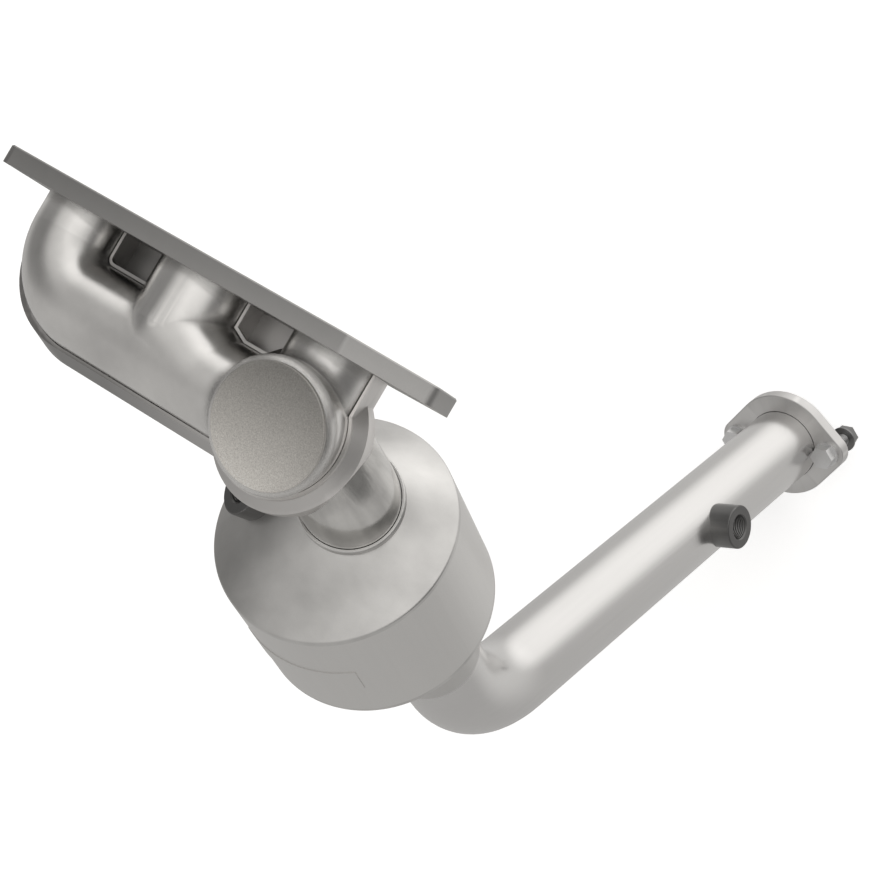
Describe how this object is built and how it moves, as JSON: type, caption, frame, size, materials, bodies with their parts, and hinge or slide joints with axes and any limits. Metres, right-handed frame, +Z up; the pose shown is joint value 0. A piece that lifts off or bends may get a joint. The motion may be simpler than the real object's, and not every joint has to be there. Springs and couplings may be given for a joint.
{
  "type": "catalytic converter",
  "caption": "Catalytic converter welded under a tubular exhaust manifold, with a bent downpipe, threaded sensor bungs and a bolted outlet flange.",
  "frame": {"origin": "middle of the centre port on the machined face of the head flange", "axes": "+Y out of the head flange face into the cylinder head; +X along the row of ports toward the collector end; +Z up, away from the converter"},
  "size_m": [0.3176, 0.344, 0.7145],
  "materials": {
    "head_flange": "dark milled steel plate",
    "manifold_upper_shell": "bright satin stainless stamping",
    "manifold_lower_shell": "satin stainless stamping",
    "collector_cap": "blasted stainless disc",
    "collector_outlet_tube": "bright drawn stainless tube",
    "inlet_cone": "satin stainless pressing",
    "converter_shell": "satin stainless sheet",
    "outlet_cone": "satin stainless pressing",
    "catalyst_brick": "washcoated ceramic honeycomb, drawn plain",
    "support_mat": "expanding mineral mat",
    "downpipe": "bright drawn stainless tube",
    "upstream_sensor_bung": "dark turned steel",
    "downstream_sensor_bung": "dark turned steel",
    "outlet_flange": "satin laser-cut steel plate",
    "flange_bolts": "zinc plated steel",
    "flange_nuts": "dark plated steel"
  },
  "bodies": {
    "root": {"head_flange": "head_flange", "manifold_upper_shell": "manifold_upper_shell", "manifold_lower_shell": "manifold_lower_shell", "collector_cap": "collector_cap", "collector_outlet_tube": "collector_outlet_tube", "inlet_cone": "inlet_cone", "converter_shell": "converter_shell", "outlet_cone": "outlet_cone", "catalyst_brick": "catalyst_brick", "support_mat": "support_mat", "downpipe": "downpipe", "upstream_sensor_bung": "upstream_sensor_bung", "downstream_sensor_bung": "downstream_sensor_bung", "outlet_flange": "outlet_flange", "flange_bolts": "flange_bolts", "flange_nuts": "flange_nuts"}
  },
  "joints": []
}
